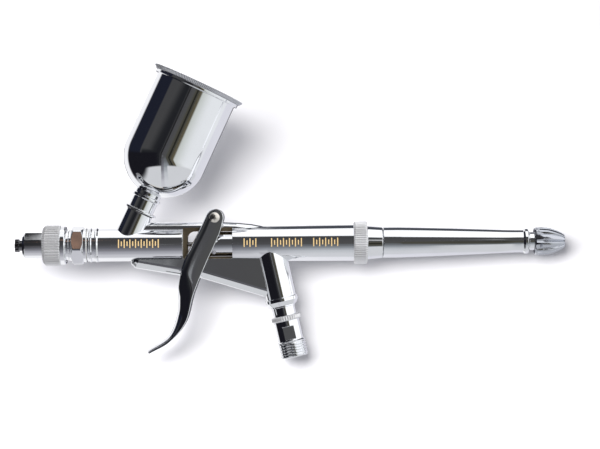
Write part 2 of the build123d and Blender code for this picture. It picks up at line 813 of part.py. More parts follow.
def cup_seal():
    return turned(
        cup_frame,
        (SOCKET_END, SPIGOT_R + FIT),
        (SOCKET_END, SOCKET_R - 0.1),
        (FLANGE_START, SOCKET_R - 0.1),
        (FLANGE_START, SPIGOT_R + FIT),
    )


def cup_lid():
    """Push-in lid with a knurled edge, a plug skirt and a vent hole."""
    seat = CUP_RIM_END + FIT
    skirt_r = CUP_R - CUP_WALL - 0.1
    skirt_start = 56.6
    blank = turned(
        cup_frame,
        (skirt_start, skirt_r - 0.7),
        (skirt_start, skirt_r - 0.2),
        (skirt_start + 0.2, skirt_r),
        (seat, skirt_r),
        (seat, LID_FOOT_R),
        (LID_END - 0.35, LID_R),
        (LID_END - 0.15, LID_R),
        (LID_END, LID_R - 0.15),
        (LID_END, 0.75),
        (seat + 0.6, 0.75),
        (seat + 0.6, skirt_r - 0.7),
    )
    teeth = toothed_bar(cup_frame, LID_R, 0.18, LID_TEETH, 55.0, LID_END)
    foot = rod(cup_frame, LID_FOOT_R, 55.0, LID_END - 0.6)
    return blank & (teeth + foot)


SUB_PARTS = [
    needle_cap, air_cap, head_ring, fluid_nozzle, nozzle_seal, head_base, head_seal,
    main_body, cup_socket, valve_casing, needle_packing, packing_screw,
    trigger, trigger_pivot, pivot_nut, push_roller, roller_pin,
    needle, chuck_tube, chuck_nut, needle_spring, spring_case,
    tail_collar, handle, pin_gland, pin_o_ring, stop_spindle, stop_knob,
    valve_pin, valve_o_ring, valve_spring, valve_nut, adapter_washer, hose_adapter,
    cup, cup_seal, cup_lid,
]

os.makedirs("parts", exist_ok=True)
for sub_part in SUB_PARTS:
    export_step(sub_part(), f"parts/{sub_part.__name__}.step")
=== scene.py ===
"""Studio look of the airbrush gun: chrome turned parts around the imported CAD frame, on white paper."""

import json
import math

import bpy
from mathutils import Matrix, Vector

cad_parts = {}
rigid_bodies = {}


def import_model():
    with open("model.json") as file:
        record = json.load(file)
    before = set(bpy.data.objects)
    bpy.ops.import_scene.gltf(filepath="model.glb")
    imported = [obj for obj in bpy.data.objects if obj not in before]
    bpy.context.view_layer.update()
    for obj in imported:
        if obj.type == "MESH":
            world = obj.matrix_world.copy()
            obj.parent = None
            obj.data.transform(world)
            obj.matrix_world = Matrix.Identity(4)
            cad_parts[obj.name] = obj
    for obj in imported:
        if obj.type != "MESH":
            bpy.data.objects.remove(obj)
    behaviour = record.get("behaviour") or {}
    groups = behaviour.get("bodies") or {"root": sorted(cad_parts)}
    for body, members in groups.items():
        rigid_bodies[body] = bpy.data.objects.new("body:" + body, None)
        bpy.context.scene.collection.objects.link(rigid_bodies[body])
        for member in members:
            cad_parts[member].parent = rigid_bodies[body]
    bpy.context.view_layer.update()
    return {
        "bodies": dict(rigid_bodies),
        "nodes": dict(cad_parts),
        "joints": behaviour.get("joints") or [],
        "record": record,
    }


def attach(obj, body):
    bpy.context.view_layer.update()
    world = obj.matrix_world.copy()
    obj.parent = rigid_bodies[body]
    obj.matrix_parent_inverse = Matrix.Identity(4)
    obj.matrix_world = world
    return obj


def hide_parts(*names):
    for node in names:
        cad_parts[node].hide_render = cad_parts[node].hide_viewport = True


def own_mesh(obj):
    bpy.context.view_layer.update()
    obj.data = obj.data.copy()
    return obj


MM = 0.001

# Tilts of the air valve and the paint cup, and where their axes cross the needle axis, in millimetres
VALVE_TILT = math.radians(12.5)
CUP_TILT = math.radians(25.3)
CUP_X = 34.2
VALVE_X = 83.95

# Radii, half widths and distances along a part's own axis, all in millimetres
NOSE_R = 4.4
NOSE_GROOVE_R = 3.9
NOSE_FLANGE_R = 5.6
RING_R = 7.0
RING_KNURL_END = 12.4
HEX_START = 16.3
HEX_END = 20.25
HEX_FLAT_R = 6.0
HEX_CORNER_R = 6.8
HEX_TURN = math.radians(13.5)
BARREL_FRONT_R = 5.7
BARREL_REAR_R = 5.95
BARREL_END_R = 6.25
BARREL_REAR_START = 71.5
COLLAR_R = 7.3
COLLAR_START = 113.2
COLLAR_KNURL_END = 117.9
HANDLE_BORE_R = 3.1
SPINDLE_BORE_R = 1.6
KNOB_FLUTE_START = 176.8
KNOB_FLUTES = 10
NECK_R = 3.95
NUT_SPIGOT_R = 3.5
THREAD_START = 34.6
THREAD_END = 39.6
THREAD_R = 4.864
THREAD_PITCH = 0.907
THREAD_DEPTH = 0.5
FLAT_HALF_WIDTH = 3.9
CUP_R = 14.4
CUP_INNER_R = 13.65
CUP_STEM_R = 4.5
CUP_DOME_CENTRE = 33.7
CUP_DRAIN_R = 1.6
CUP_RIM_END = 59.9
LID_R = 16.5
LID_SKIRT_R = 13.55
LID_END = 61.3
ARM_HALF_WIDTH = 5.93
ARM_GAP_HALF_WIDTH = 4.42
ARM_GAP_END_Z = -13.8
MARK_HALF_WIDTH = 0.19
MARK_CENTRE_Z = 0.4
WINDOW_X = (54.5, 71.4)
WINDOW_Y = (-2.75, 2.75)
WINDOW_Z = (-5.2, 5.7)
EDGE_ROUND = 0.12

# Camera and paper
CAMERA_CENTRE = (94.77, 6.45)
CAMERA_DISTANCE = 700.0
VIEW_WIDTH = 207.0
CAMERA_ROLL = math.radians(0.53)
PAPER_Y = 17.0
PAPER_SLOPE_X = -0.075
PAPER_SLOPE_LOW = 0.2
PAPER_SLOPE_HIGH = 0.38
PAPER_LIFT = 0.002
PAPER_VIEW_LIMIT = -0.4  # the sheet is seen only from directions whose Y is below this


# ---- frames and meshes ---------------------------------------------------------------------------
def axis_frame(origin, x_dir, z_dir):
    """Matrix from a part's own frame to the row frame, still in millimetres."""
    x_axis = Vector(x_dir).normalized()
    z_axis = Vector(z_dir).normalized()
    y_axis = z_axis.cross(x_axis)
    frame = Matrix((x_axis, y_axis, z_axis)).transposed().to_4x4()
    frame.translation = Vector(origin)
    return frame


# Turned parts are drawn in these frames: local Z runs along the part's own axis.
NEEDLE = axis_frame((0, 0, 0), (0, 1, 0), (1, 0, 0))
VALVE = axis_frame(
    (VALVE_X, 0, 0),
    (math.cos(VALVE_TILT), 0, math.sin(VALVE_TILT)),
    (math.sin(VALVE_TILT), 0, -math.cos(VALVE_TILT)),
)
CUP = axis_frame(
    (CUP_X, 0, 0),
    (math.cos(CUP_TILT), 0, -math.sin(CUP_TILT)),
    (math.sin(CUP_TILT), 0, math.cos(CUP_TILT)),
)


def make_mesh(name, points, faces, frame, smooth_angle=40):
    """Smooth-shaded object from points in a part's own frame, with edges above the angle kept sharp."""
    mesh = bpy.data.meshes.new(name)
    mesh.from_pydata([(frame @ Vector(p)) * MM for p in points], [], faces)
    mesh.update()
    for polygon in mesh.polygons:
        polygon.use_smooth = True
    mesh.set_sharp_from_angle(angle=math.radians(smooth_angle))
    obj = bpy.data.objects.new(name, mesh)
    bpy.context.scene.collection.objects.link(obj)
    return obj


def soften(profile, size=0.1, steps=3, closed=False):
    """Rounds the corners of an (along, radius) outline and adds support points beside each round."""
    points = [Vector((p[0], p[1])) for p in profile]
    result = []
    last = len(points) - 1
    for index, here in enumerate(points):
        if not closed and index in (0, last):
            result.append(here)
            continue
        before = points[index - 1]
        after = points[(index + 1) % len(points)]
        back = before - here
        ahead = after - here
        if back.length < 1e-6 or ahead.length < 1e-6:
            result.append(here)
            continue
        turn = math.degrees(math.pi - back.angle(ahead))
        if turn < 12:
            result.append(here)
            continue
        reach = min(size, 0.35 * back.length, 0.35 * ahead.length)
        start = here + back.normalized() * reach
        end = here + ahead.normalized() * reach
        result.append(here + back.normalized() * reach * 1.35)
        for step in range(steps + 1):
            t = step / steps
            result.append(start * (1 - t) ** 2 + here * 2 * t * (1 - t) + end * t * t)
        result.append(here + ahead.normalized() * reach * 1.35)
    return result


def subdivided(profile, start, end, spacing):
    """Adds points to the outline between two distances along the axis."""
    result = []
    for a, b in zip(profile, profile[1:]):
        result.append(a)
        length = (b - a).length
        if min(a.x, b.x) < start - 1e-6 or max(a.x, b.x) > end + 1e-6 or length < spacing:
            continue
        count = int(length / spacing)
        for step in range(1, count + 1):
            result.append(a.lerp(b, step / (count + 1)))
    result.append(profile[-1])
    return result


def lathe(name, frame, profile, steps=160, relief=None, closed=False):
    """Turned part from an outline; relief(angle, along, radius) may change each point's radius."""
    points = []
    rings = []
    for along, radius in profile:
        if radius < 1e-6:
            rings.append([len(points)])
            points.append((0, 0, along))
            continue
        ring = []
        for step in range(steps):
            angle = 2 * math.pi * step / steps
            r = relief(angle, along, radius) if relief else radius
            ring.append(len(points))
            points.append((r * math.cos(angle), r * math.sin(angle), along))
        rings.append(ring)
    faces = []
    pairs = list(zip(rings, rings[1:]))
    if closed:
        pairs.append((rings[-1], rings[0]))
    for a, b in pairs:
        for step in range(steps):
            after = (step + 1) % steps
            if len(a) == 1 and len(b) == 1:
                break
            if len(a) == 1:
                faces.append((a[0], b[after], b[step]))
            elif len(b) == 1:
                faces.append((a[step], a[after], b[0]))
            else:
                faces.append((a[step], a[after], b[after], b[step]))
    if not closed:
        for ring, flip in ((rings[0], False), (rings[-1], True)):
            if len(ring) > 1:
                faces.append(tuple(reversed(ring)) if not flip else tuple(ring))
    return make_mesh(name, points, faces, frame)


def smooth_curve(points, per_span):
    """Catmull-Rom curve through the points."""
    vectors = [Vector(p) for p in points]
    ends = [vectors[0] * 2 - vectors[1]] + vectors + [vectors[-1] * 2 - vectors[-2]]
    result = []
    for i in range(1, len(ends) - 2):
        p0, p1, p2, p3 = ends[i - 1], ends[i], ends[i + 1], ends[i + 2]
        for step in range(per_span):
            t = step / per_span
            result.append(
                0.5 * (2 * p1 + (p2 - p0) * t + (2 * p0 - 5 * p1 + 4 * p2 - p3) * t * t
                       + (3 * p1 - 3 * p2 + p3 - p0) * t ** 3)
            )
    result.append(vectors[-1])
    return result


def teeth(count, depth, start, end, inside):
    """Straight knurl between two distances along the axis, on what is wider than the inside radius."""
    def relief(angle, along, radius):
        if along < start or along > end or radius <= inside:
            return radius
        wave = abs((angle * count / (2 * math.pi)) % 1.0 - 0.5) * 2
        return radius - depth * (1 - min(1.0, 1.3 * wave))
    return relief


def polish(obj, rough, bright, frame, is_plain):
    """Rough metal on the knurl and bright metal on the faces that is_plain(along, radius) picks."""
    obj.data.materials.append(rough)
    obj.data.materials.append(bright)
    to_part = frame.inverted()
    for polygon in obj.data.polygons:
        here = to_part @ (polygon.center / MM)
        if is_plain(here.z, math.hypot(here.x, here.y)):
            polygon.material_index = 1
    return obj


def place(obj, body, material, slot, *nodes):
    """Gives a finished piece its material, unless it has one, and its body, and hides the CAD nodes it
    stands for.
    """
    if not obj.data.materials:
        obj.data.materials.append(material)
    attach(obj, body)
    if nodes:
        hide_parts(*nodes)
    return obj


# ---- materials -----------------------------------------------------------------------------------
def add_math(nodes, links, operation, a, b):
    """One math node whose two inputs are sockets or numbers."""
    node = nodes.new("ShaderNodeMath")
    node.operation = operation
    for index, value in enumerate((a, b)):
        if isinstance(value, (int, float)):
            node.inputs[index].default_value = value
        else:
            links.new(value, node.inputs[index])
    return node.outputs[0]


def step_mask(nodes, links, value, low, high):
    """Smooth 0 to 1 step of a socket between two values; it falls when low is above high."""
    node = nodes.new("ShaderNodeMapRange")
    node.interpolation_type = "SMOOTHSTEP"
    if low > high:
        node.inputs["From Min"].default_value = high
        node.inputs["From Max"].default_value = low
        node.inputs["To Min"].default_value = 1.0
        node.inputs["To Max"].default_value = 0.0
    else:
        node.inputs["From Min"].default_value = low
        node.inputs["From Max"].default_value = high
    links.new(value, node.inputs["Value"])
    return node.outputs["Result"]


def blend_colour(nodes, links, mask, under, over):
    """Colour that turns from under to over as the mask rises; each is a socket or three numbers."""
    node = nodes.new("ShaderNodeMixRGB")
    links.new(mask, node.inputs["Fac"])
    for name, value in (("Color1", under), ("Color2", over)):
        if isinstance(value, tuple):
            node.inputs[name].default_value = (*value, 1)
        else:
            links.new(value, node.inputs[name])
    return node.outputs["Color"]


def metal(name, colour, roughness, grain=0.012, window_painted_shade=None, metallic=1.0):
    """Polished or satin metal with fine scratches, smudges and rounded edges."""
    material = bpy.data.materials.new(name)
    material.use_nodes = True
    nodes = material.node_tree.nodes
    links = material.node_tree.links
    shader = nodes["Principled BSDF"]
    shader.inputs["Metallic"].default_value = metallic
    coordinates = nodes.new("ShaderNodeTexCoord")

    smudge = nodes.new("ShaderNodeTexNoise")
    smudge.inputs["Scale"].default_value = 140
    smudge.inputs["Detail"].default_value = 6
    links.new(coordinates.outputs["Object"], smudge.inputs["Vector"])
    spread = nodes.new("ShaderNodeMapRange")
    spread.inputs["From Min"].default_value = 0.35
    spread.inputs["From Max"].default_value = 0.75
    spread.inputs["To Min"].default_value = roughness
    spread.inputs["To Max"].default_value = roughness + 0.05
    links.new(smudge.outputs["Fac"], spread.inputs["Value"])
    links.new(spread.outputs["Result"], shader.inputs["Roughness"])

    stretch = nodes.new("ShaderNodeMapping")
    stretch.inputs["Scale"].default_value = (1.0, 7.0, 7.0)
    links.new(coordinates.outputs["Object"], stretch.inputs["Vector"])
    scratch = nodes.new("ShaderNodeTexNoise")
    scratch.inputs["Scale"].default_value = 900
    scratch.inputs["Detail"].default_value = 8
    links.new(stretch.outputs["Vector"], scratch.inputs["Vector"])
    edge = nodes.new("ShaderNodeBevel")
    edge.samples = 6
    edge.inputs["Radius"].default_value = EDGE_ROUND * MM
    bump = nodes.new("ShaderNodeBump")
    bump.inputs["Strength"].default_value = grain
    bump.inputs["Distance"].default_value = 0.05 * MM
    links.new(scratch.outputs["Fac"], bump.inputs["Height"])
    links.new(edge.outputs["Normal"], bump.inputs["Normal"])
    links.new(bump.outputs["Normal"], shader.inputs["Normal"])

    tone = nodes.new("ShaderNodeMixRGB")
    tone.inputs["Color1"].default_value = (*colour, 1)
    tone.inputs["Color2"].default_value = (*[c * 0.93 for c in colour], 1)
    links.new(smudge.outputs["Fac"], tone.inputs["Fac"])
    result = tone.outputs["Color"]
    # Painted shade: the window's milled faces get a dark brown colour and a duller finish. These stand in
    # for the shade and the brown reflection inside the window.
    if window_painted_shade:
        mask = window_mask(nodes, links, coordinates)
        result = blend_colour(nodes, links, mask, result, window_painted_shade)
        dull = blend_colour(nodes, links, mask, spread.outputs["Result"], (0.45, 0.45, 0.45))
        links.new(dull, shader.inputs["Roughness"])
    links.new(result, shader.inputs["Base Color"])
    return material


def window_mask(nodes, links, coordinates):
    """1 on the milled faces of the barrel's window and 0 elsewhere."""
    axes = nodes.new("ShaderNodeSeparateXYZ")
    links.new(coordinates.outputs["Object"], axes.inputs["Vector"])
    mask = None
    for axis, (low, high) in (("X", WINDOW_X), ("Y", WINDOW_Y), ("Z", WINDOW_Z)):
        for limit, operation in ((low, "GREATER_THAN"), (high, "LESS_THAN")):
            inside = add_math(nodes, links, operation, axes.outputs[axis], limit * MM)
            mask = inside if mask is None else add_math(nodes, links, "MULTIPLY", mask, inside)
    return mask


def soft_material(name, colour, roughness):
    """Rubber or plastic with a fine grain."""
    material = bpy.data.materials.new(name)
    material.use_nodes = True
    nodes = material.node_tree.nodes
    links = material.node_tree.links
    shader = nodes["Principled BSDF"]
    shader.inputs["Roughness"].default_value = roughness
    coordinates = nodes.new("ShaderNodeTexCoord")
    noise = nodes.new("ShaderNodeTexNoise")
    noise.inputs["Scale"].default_value = 3000
    noise.inputs["Detail"].default_value = 5
    links.new(coordinates.outputs["Object"], noise.inputs["Vector"])
    mix = nodes.new("ShaderNodeMixRGB")
    mix.inputs["Color1"].default_value = (*colour, 1)
    mix.inputs["Color2"].default_value = (*[c * 0.8 for c in colour], 1)
    links.new(noise.outputs["Fac"], mix.inputs["Fac"])
    links.new(mix.outputs["Color"], shader.inputs["Base Color"])
    bump = nodes.new("ShaderNodeBump")
    bump.inputs["Strength"].default_value = 0.1
    bump.inputs["Distance"].default_value = 0.03 * MM
    links.new(noise.outputs["Fac"], bump.inputs["Height"])
    links.new(bump.outputs["Normal"], shader.inputs["Normal"])
    return material


# ---- spray head ----------------------------------------------------------------------------------
def needle_cap():
    """Crown with six slots, on a neck that plugs into the nose."""
    slot_count = 6
    slot_depth = 0.55
    profile = [
        (-3.5, 0.95), (-3.5, 2.3), (-2.1, 2.3), (-2.1, 1.8), (-0.8, 1.8), (-0.8, 2.2),
        (1.0, 2.2), (1.0, 0.95),
    ]
    profile = subdivided(soften(profile, closed=True), -3.5, -2.0, 0.3)

    def slots(angle, along, radius):
        beside = abs((angle * slot_count / (2 * math.pi)) % 1.0 - 0.5)
        if along < -2.3 and beside < 0.14 and radius > 1.4:
            return radius - slot_depth
        return radius
    return lathe("needle_cap_crown", NEEDLE, profile, 144, slots, closed=True)


def air_cap():
    """Nose with a groove behind it and the flange that the ring holds."""
    profile = [
        (-0.8, 2.22), (-0.8, 3.8), (0.0, NOSE_R), (6.0, NOSE_R), (6.0, NOSE_GROOVE_R),
        (7.2, NOSE_GROOVE_R), (7.2, NOSE_FLANGE_R), (8.6, NOSE_FLANGE_R), (8.6, 3.2),
        (3.0, 3.2), (1.0, 2.6), (1.0, 2.22),
    ]
    return lathe("air_cap_nose", NEEDLE, soften(profile, closed=True), 160, closed=True)


def head_ring():
    """Knurled ring with a plain lip on the tail side."""
    tooth_count = 44
    profile = [
        (6.2, 3.95), (6.2, 6.0), (7.1, RING_R), (12.1, RING_R), (RING_KNURL_END, 6.65),
        (13.9, 6.65), (14.2, 6.4), (14.2, 5.7), (7.2, 5.7), (7.2, 3.95),
    ]
    profile = soften(profile, 0.12, closed=True)
    knurl = teeth(tooth_count, 0.42, 6.25, RING_KNURL_END - 0.05, 5.9)
    return lathe("head_ring_knurled", NEEDLE, profile, tooth_count * 8, knurl, closed=True)


def head_base():
    """Front thread, neck, hexagon with turned corners, and the rear flange."""
    profile = [
        (9.9, 1.72), (9.9, 5.6), (14.2, 5.6), (14.25, 5.1), (15.2, 5.1), (15.3, 5.4), (16.2, 5.4),
        (HEX_START, 6.1), (HEX_START + 0.6, HEX_CORNER_R), (HEX_END - 0.6, HEX_CORNER_R),
        (HEX_END, 6.1), (HEX_END, 5.9), (21.3, 5.9), (21.3, 4.2), (27.0, 4.2), (27.0, 0.95),
        (12.8, 0.95),
    ]
    profile = subdivided(soften(profile, 0.08, closed=True), HEX_START - 0.01, HEX_END + 0.01, 0.09)

    def hexagon(angle, along, radius):
        if along < HEX_START - 0.01 or along > HEX_END + 0.001 or radius < 5.0:
            return radius
        within = (angle - HEX_TURN + math.pi) % (math.pi / 3) - math.pi / 6
        return min(radius, HEX_FLAT_R / math.cos(within))
    return lathe("head_hexagon", NEEDLE, profile, 240, hexagon, closed=True)


# ---- tail ----------------------------------------------------------------------------------------
def tail_collar():
    """Knurled collar with a plain cone behind it."""
    tooth_count = 55
    profile = [
        (COLLAR_START, 4.27), (COLLAR_START, 6.9), (COLLAR_START + 0.4, COLLAR_R),
        (COLLAR_KNURL_END - 0.4, COLLAR_R), (COLLAR_KNURL_END, 6.9), (COLLAR_KNURL_END, 5.75),
        (123.1, 5.3), (123.1, 3.6), (119.5, 3.6), (119.5, 4.27),
    ]
    profile = soften(profile, 0.14, closed=True)
    knurl = teeth(tooth_count, 0.24, COLLAR_START + 0.1, COLLAR_KNURL_END - 0.1, 6.5)
    return lathe("tail_collar_knurled", NEEDLE, profile, tooth_count * 8, knurl, closed=True)


def handle():
    """Long hollow taper with a bead at its end."""
    waist = smooth_curve([(129.0, 5.25), (143.0, 4.83), (157.0, 4.31), (166.0, 3.94), (171.6, 3.85)], 12)
    profile = [(119.7, HANDLE_BORE_R), (119.7, 3.58), (123.3, 3.58), (123.3, 5.05), (123.5, 5.25)]
    profile += [tuple(p) for p in waist]
    profile += [
        (172.2, 4.3), (173.1, 4.3), (173.4, 4.0), (173.4, 2.6), (169.3, 2.6),
        (169.3, SPINDLE_BORE_R), (157.0, SPINDLE_BORE_R), (157.0, HANDLE_BORE_R),
    ]
    return lathe("handle_taper", NEEDLE, soften(profile, 0.08, closed=True), 180, closed=True)


def stop_knob():
    """Bullet-shaped knob with flutes that fade in from its front edge."""
    flute_depth = 0.6
    nose = smooth_curve([(178.2, 4.75), (181.0, 4.4), (184.2, 3.2), (185.7, 2.25)], 10)
    profile = [(183.0, 0), (183.0, SPINDLE_BORE_R), (175.5, SPINDLE_BORE_R), (175.5, 4.4), (175.9, 4.7)]
    profile += [tuple(p) for p in nose]
    profile += [(185.95, 1.9), (186.0, 1.5), (186.0, 0)]
    profile = subdivided([Vector(p) for p in profile], 175.9, 178.3, 0.2)

    def flutes(angle, along, radius):
        if along < KNOB_FLUTE_START or radius < 1.9:
            return radius
        run = min(1.0, (along - KNOB_FLUTE_START) / 1.2)
        wave = max(0.0, math.cos(angle * KNOB_FLUTES))
        return radius - flute_depth * run * wave * wave
    return lathe("stop_knob_fluted", NEEDLE, profile, 240, flutes)


# ---- air valve -----------------------------------------------------------------------------------
def valve_nut():
    """Screwed plug, neck, and the spigot that the hose adapter sits on."""
    profile = [
        (17.5, 1.5), (17.5, 3.58), (21.9, 3.58), (21.9, 4.2), (22.4, 4.2), (22.4, NECK_R),
        (25.5, NECK_R), (25.5, NUT_SPIGOT_R), (30.0, NUT_SPIGOT_R), (30.0, 1.5),
    ]
    return lathe("valve_nut_neck", VALVE, soften(profile, closed=True), 144, closed=True)


def adapter_washer():
    """Thin knurled washer above the hose adapter."""
    tooth_count = 36
    profile = [(25.5, 3.52), (25.5, 4.8), (25.8, 5.1), (26.9, 5.1), (27.2, 4.8), (27.2, 3.52)]
    profile = soften(profile, 0.1, closed=True)
    knurl = teeth(tooth_count, 0.2, 25.5, 27.2, 4.4)
    return lathe("adapter_washer_knurled", VALVE, profile, tooth_count * 8, knurl, closed=True)


def hose_adapter():
    """Spanner flats, then a real helical thread, which the CAD frame leaves as a cylinder."""
    profile = [
        (27.2, 3.52), (27.2, 4.4), (34.2, 4.4), (THREAD_START, THREAD_R), (THREAD_END, THREAD_R),
        (40.0, 4.45), (40.0, 2.6), (30.2, 2.6), (30.2, 3.52),
    ]
    profile = subdivided(soften(profile, 0.1, closed=True), 27.3, THREAD_END + 0.01, 0.06)

    def shape(angle, along, radius):
        if radius < 4.2:
            return radius
        if 29.2 <= along <= 33.8:
            return min(radius, FLAT_HALF_WIDTH / max(0.05, abs(math.sin(angle))))
        if THREAD_START <= along <= THREAD_END + 0.2:
            wave = abs((along / THREAD_PITCH + angle / (2 * math.pi)) % 1.0 - 0.5) * 2
            fade = min(1.0, (along - THREAD_START) / 0.5)
            return min(radius, THREAD_R - THREAD_DEPTH * fade * (1 - min(1.0, 1.2 * wave)))
        return radius
    return lathe("hose_adapter_threaded", VALVE, profile, 144, shape, closed=True)


# ---- paint cup -----------------------------------------------------------------------------------
def dome(radius, start_angle, end_angle, count):
    """Arc about the cup's dome centre, as (along, radius) points; angle 0 is the bottom of the dome."""
    arc = []
    for step in range(count + 1):
        angle = start_angle + (end_angle - start_angle) * step / count
        arc.append((CUP_DOME_CENTRE - radius * math.cos(angle), radius * math.sin(angle)))
    return arc


def cup():
    """Bowl with a round bottom, a rim, and a stem with its seat flange."""
    join = math.asin(CUP_STEM_R / CUP_R)
    drain = math.asin(CUP_DRAIN_R / CUP_INNER_R)
    profile = [
        (8.2, CUP_DRAIN_R), (8.2, 3.35), (12.6, 3.35), (12.6, 5.65), (13.3, 5.65),
        (13.35, CUP_STEM_R), (17.3, CUP_STEM_R), (17.5, 4.95), (18.4, 4.95), (18.6, CUP_STEM_R),
    ]
    profile += dome(CUP_R, join, math.pi / 2, 40)
    profile += [(58.85, CUP_R), (58.9, 15.3), (CUP_RIM_END, 15.3), (CUP_RIM_END, CUP_INNER_R)]
    profile += reversed(dome(CUP_INNER_R, drain, math.pi / 2, 32))
    return lathe("cup_bowl", CUP, soften(profile, 0.16, closed=True), 200, closed=True)


def cup_lid():
    """Plate with a conical knurled edge, a plug skirt and a vent hole."""
    tooth_count = 158
    seat = CUP_RIM_END + 0.02
    profile = [
        (56.6, 12.85), (56.6, 13.35), (56.8, LID_SKIRT_R), (seat, LID_SKIRT_R), (seat, 15.5),
        (60.95, LID_R), (61.15, LID_R), (LID_END, 16.35), (LID_END, 0.75), (60.52, 0.75), (60.52, 12.85),
    ]
    profile = soften(profile, 0.1, closed=True)
    knurl = teeth(tooth_count, 0.22, 59.95, LID_END - 0.02, 15.55)
    return lathe("cup_lid_knurled", CUP, profile, tooth_count * 6, knurl, closed=True)


# ---- trigger -------------------------------------------------------------------------------------
def smooth_step(t, start, end):
    """0 before the start, 1 after the end, and a smooth rise in between."""
    rise = min(1.0, max(0.0, (t - start) / (end - start)))
    return rise * rise * (3 - 2 * rise)


def trigger_section(front, back, half_y, front_round, rear_round, front_depth):
    """One section of the trigger: large rounds on the finger side and small ones behind."""
    across = back - front
    width = across.length
    direction = across / width
    a = front_round * width
    b = min(rear_round, width * 0.03 + 0.1)
    c = min(front_depth, half_y * 0.98)
    corners = (
        (a, -half_y + c, a, c, 180, 270),
        (width - b, -half_y + b, b, b, 270, 360),
        (width - b, half_y - b, b, b, 0, 90),
        (a, half_y - c, a, c, 90, 180),
    )
    section = []
    for u0, v0, ru, rv, start, end in corners:
        for step in range(13):
            angle = math.radians(start + (end - start) * step / 12)
            along = front + direction * (u0 + ru * math.cos(angle))
            section.append((along.x, v0 + rv * math.sin(angle), along.y))
    return section


def round_end(front, back, angles, side, share):
    """Stations that round off one end of the trigger; side is 1 at the top and -1 at the tip."""
    centre = (front + back) / 2
    half = (back - front) / 2
    outward = Vector((-half.y, half.x)) * side
    stations = []
    for angle in angles:
        across = half * math.cos(math.radians(angle))
        beyond = outward * math.sin(math.radians(angle))
        stations.append((centre - across + beyond, centre + across + beyond, share))
    return stations


def trigger():
    """Blade swept from the pivot end to the tip, then slotted for the barrel."""
    front = [
        (62.6, 9.9), (60.2, 4.9), (54.7, -6.2), (52.7, -15.8), (52.2, -23.5), (49.3, -31.2), (42.2, -36.2),
    ]
    back = [
        (68.5, 8.3), (67.0, 3.2), (62.5, -6.5), (58.2, -16.8), (55.4, -26.5), (49.8, -33.4), (43.0, -37.3),
    ]
    front = smooth_curve(front, 14)
    back = smooth_curve(back, 14)
    last = len(front) - 1
    stations = round_end(front[0], back[0], range(84, 0, -12), 1, 0.0)
    for index in range(last + 1):
        stations.append((front[index], back[index], index / last))
    stations += round_end(front[last], back[last], (25, 50, 75), -1, 1.0)
    points = []
    faces = []
    for a, b, t in stations:
        taper = max(0.0, (t - 0.45) / 0.55)
        half_y = ARM_HALF_WIDTH - 2.6 * taper ** 1.5
        turn = smooth_step(t, 0.38, 0.49)
        swell = smooth_step(t, 0.46, 0.56)
        front_round = 0.34 + 0.60 * turn
        depth = 1.5 + 4.3 * swell
        points += trigger_section(a, b, half_y, front_round, 0.25, depth)
    count = len(points) // len(stations)
    for row in range(len(stations) - 1):
        for step in range(count):
            after = (step + 1) % count
            low = row * count
            high = low + count
            faces.append((low + step, high + step, high + after, low + after))
    faces.append(tuple(range(count)))
    faces.append(tuple(reversed(range(len(points) - count, len(points)))))
    blade = make_mesh("trigger_blade", points, faces, Matrix.Identity(4), 50)
    cut_box(blade, (30, -ARM_GAP_HALF_WIDTH, ARM_GAP_END_Z), (80, ARM_GAP_HALF_WIDTH, 20))
    return blade


def pivot_screw():
    """Plain shank with a low domed head on the camera's side."""
    screw_frame = axis_frame((65.55, 0, 9.15), (1, 0, 0), (0, -1, 0))
    shank = 1.2
    head_base = 5.96
    dome_r = 2.35
    dome_depth = 1.48
    profile = [(-7.2, 0), (-7.2, shank - 0.1), (-7.1, shank), (head_base, shank), (head_base, 1.78)]
    for step in range(1, 15):
        angle = math.asin(1.8 / dome_r) * (1 - step / 14)
        profile.append((head_base - dome_depth + dome_r * math.cos(angle), dome_r * math.sin(angle)))
    return lathe("pivot_screw_domed", screw_frame, [Vector(p) for p in profile], 96)


def cut_box(obj, low, high):
    """Subtracts a box from a mesh for good."""
    corners = [(x, y, z) for x in (low[0], high[0]) for y in (low[1], high[1]) for z in (low[2], high[2])]
    sides = [(0, 1, 3, 2), (4, 6, 7, 5), (0, 4, 5, 1), (2, 3, 7, 6), (0, 2, 6, 4), (1, 5, 7, 3)]
    tool = make_mesh("cut_tool", corners, sides, Matrix.Identity(4))
    modifier = obj.modifiers.new("cut", "BOOLEAN")
    modifier.object = tool
    modifier.operation = "DIFFERENCE"
    modifier.solver = "EXACT"
    bpy.context.view_layer.update()
    graph = bpy.context.evaluated_depsgraph_get()
    mesh = bpy.data.meshes.new_from_object(obj.evaluated_get(graph))
    obj.modifiers.clear()
    obj.data = mesh
    for polygon in mesh.polygons:
        polygon.use_smooth = True
    mesh.set_sharp_from_angle(angle=math.radians(40))
    bpy.data.objects.remove(tool)


# ---- springs and marks ---------------------------------------------------------------------------
def spring(name, frame, start, length, mean_radius, wire_radius, turns):
    """Open coil spring."""
    corners = 12
    points = []
    faces = []
    count = int(turns * 40)
    for step in range(count + 1):
        angle = 2 * math.pi * turns * step / count
        along = start + length * step / count
        for corner in range(corners):
            around = 2 * math.pi * corner / corners
            radius = mean_radius + wire_radius * math.cos(around)
            height = along + wire_radius * math.sin(around)
            points.append((radius * math.cos(angle), radius * math.sin(angle), height))
    for step in range(count):
        for corner in range(corners):
            after = (corner + 1) % corners
            low = step * corners
            high = low + corners
            faces.append((low + corner, low + after, high + after, high + corner))
    faces.append(tuple(reversed(range(corners))))
    faces.append(tuple(range(count * corners, (count + 1) * corners)))
    return make_mesh(name, points, faces, frame)


def barrel_radius(x):
    """Outside radius of the barrel at a distance along the needle axis."""
    if x < BARREL_REAR_START:
        return BARREL_FRONT_R
    share = (x - BARREL_REAR_START) / (COLLAR_START - BARREL_REAR_START)
    return BARREL_REAR_R + share * (BARREL_END_R - BARREL_REAR_R)


